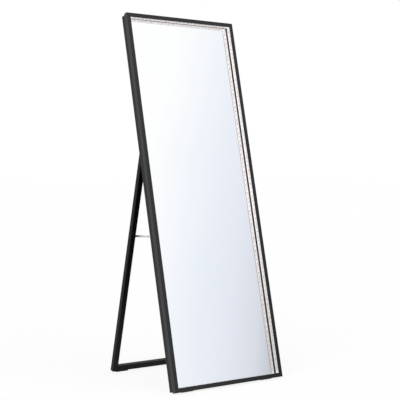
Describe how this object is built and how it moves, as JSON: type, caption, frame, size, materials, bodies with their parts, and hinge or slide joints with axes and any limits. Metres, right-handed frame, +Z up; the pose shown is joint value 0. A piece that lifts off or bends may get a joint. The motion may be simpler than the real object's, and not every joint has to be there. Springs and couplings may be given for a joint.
{
  "type": "leaning floor mirror",
  "caption": "Full-length mirror in a slim black frame with lit inner walls, leaning back on a folding easel leg frame held open by hinged stays.",
  "frame": {"origin": "on the floor, at the middle of the object's outline seen from above", "axes": "+X to the right for a person facing the mirror, +Y from the mirror back to the leg, +Z up"},
  "size_m": [0.572, 0.5288, 1.5618],
  "materials": {
    "black_aluminium": "black anodised, satin",
    "black_wood": "black lacquer, satin",
    "mirror": "silvered float glass",
    "board": "plain hardboard",
    "white_plastic": "white, smooth",
    "light_tape": "white tape with pale light chips",
    "plated_steel": "zinc plated",
    "plain_wood": "plain beech",
    "rubber": "matte",
    "black_plastic": "fine grain",
    "circuit_board": "solder mask"
  },
  "bodies": {
    "mirror_frame": {"backer_board": "board", "bottom_rail": "black_aluminium", "control_board": "circuit_board", "control_box_cover": "black_plastic", "control_box_screws": "plated_steel", "control_box_tray": "black_plastic", "corner_keys": "plated_steel", "frame_pad_left": "rubber", "frame_pad_right": "rubber", "frame_screws": "plated_steel", "hinge_frame_leaf_left": "plated_steel", "hinge_frame_leaf_right": "plated_steel", "hinge_frame_screws": "plated_steel", "hinge_pin_left": "plated_steel", "hinge_pin_right": "plated_steel", "left_stile": "black_aluminium", "light_channel_bottom": "white_plastic", "light_channel_left": "white_plastic", "light_channel_right": "white_plastic", "light_channel_top": "white_plastic", "light_tape_bottom": "light_tape", "light_tape_left": "light_tape", "light_tape_right": "light_tape", "light_tape_top": "light_tape", "mirror_glass": "mirror", "power_inlet": "black_plastic", "rear_bar_bottom": "black_wood", "rear_bar_left": "black_wood", "rear_bar_right": "black_wood", "rear_bar_top": "black_wood", "right_stile": "black_aluminium", "stay_frame_bracket_left": "plated_steel", "stay_frame_bracket_right": "plated_steel", "stay_frame_screws": "plated_steel", "top_rail": "black_aluminium"},
    "leg_frame": {"left_leg": "black_wood", "right_leg": "black_wood", "leg_top_bar": "black_wood", "foot_bar": "black_wood", "leg_dowels": "plain_wood", "hinge_leg_screws": "plated_steel", "stay_leg_screws": "plated_steel", "hinge_leg_leaf_left": "plated_steel", "hinge_leg_leaf_right": "plated_steel", "stay_leg_bracket_left": "plated_steel", "stay_leg_bracket_right": "plated_steel", "leg_pad_left": "rubber", "leg_pad_right": "rubber"},
    "power_button": {"power_button": "black_plastic"},
    "left_stay_front": {"stay_front_link_left": "plated_steel", "stay_front_rivets_left": "plated_steel"},
    "left_stay_rear": {"stay_rear_link_left": "plated_steel", "stay_rear_rivet_left": "plated_steel"},
    "right_stay_front": {"stay_front_link_right": "plated_steel", "stay_front_rivets_right": "plated_steel"},
    "right_stay_rear": {"stay_rear_link_right": "plated_steel", "stay_rear_rivet_right": "plated_steel"}
  },
  "joints": [
    {"name": "leg_fold", "type": "hinge", "parent": "mirror_frame", "child": "leg_frame", "pos_m": [0, 0.02311, 0.96924], "axis": [-1, 0, 0], "range_deg": [0, 26.4]},
    {"name": "left_stay_swing", "type": "hinge", "parent": "mirror_frame", "child": "left_stay_front", "pos_m": [-0.2329, -0.05888, 0.61868], "axis": [1, 0, 0], "range_deg": [0, 76]},
    {"name": "left_stay_knee", "type": "hinge", "parent": "left_stay_front", "child": "left_stay_rear", "pos_m": [-0.2329, 0.0246, 0.61504], "axis": [-1, 0, 0], "range_deg": [0, 174]},
    {"name": "right_stay_swing", "type": "hinge", "parent": "mirror_frame", "child": "right_stay_front", "pos_m": [0.2329, -0.05888, 0.61868], "axis": [1, 0, 0], "range_deg": [0, 76]},
    {"name": "right_stay_knee", "type": "hinge", "parent": "right_stay_front", "child": "right_stay_rear", "pos_m": [0.2329, 0.0246, 0.61504], "axis": [-1, 0, 0], "range_deg": [0, 174]},
    {"name": "power_button_press", "type": "slide", "parent": "mirror_frame", "child": "power_button", "axis": [0, -0.9711, 0.2385], "range_m": [0, 0.0015], "stiffness_N_per_m": 600}
  ],
  "couplings": [
    {"joint": "left_stay_swing", "follows": "leg_fold", "ratio": 2.8423},
    {"joint": "left_stay_knee", "follows": "leg_fold", "ratio": 6.5487},
    {"joint": "right_stay_swing", "follows": "leg_fold", "ratio": 2.8423},
    {"joint": "right_stay_knee", "follows": "leg_fold", "ratio": 6.5487}
  ]
}
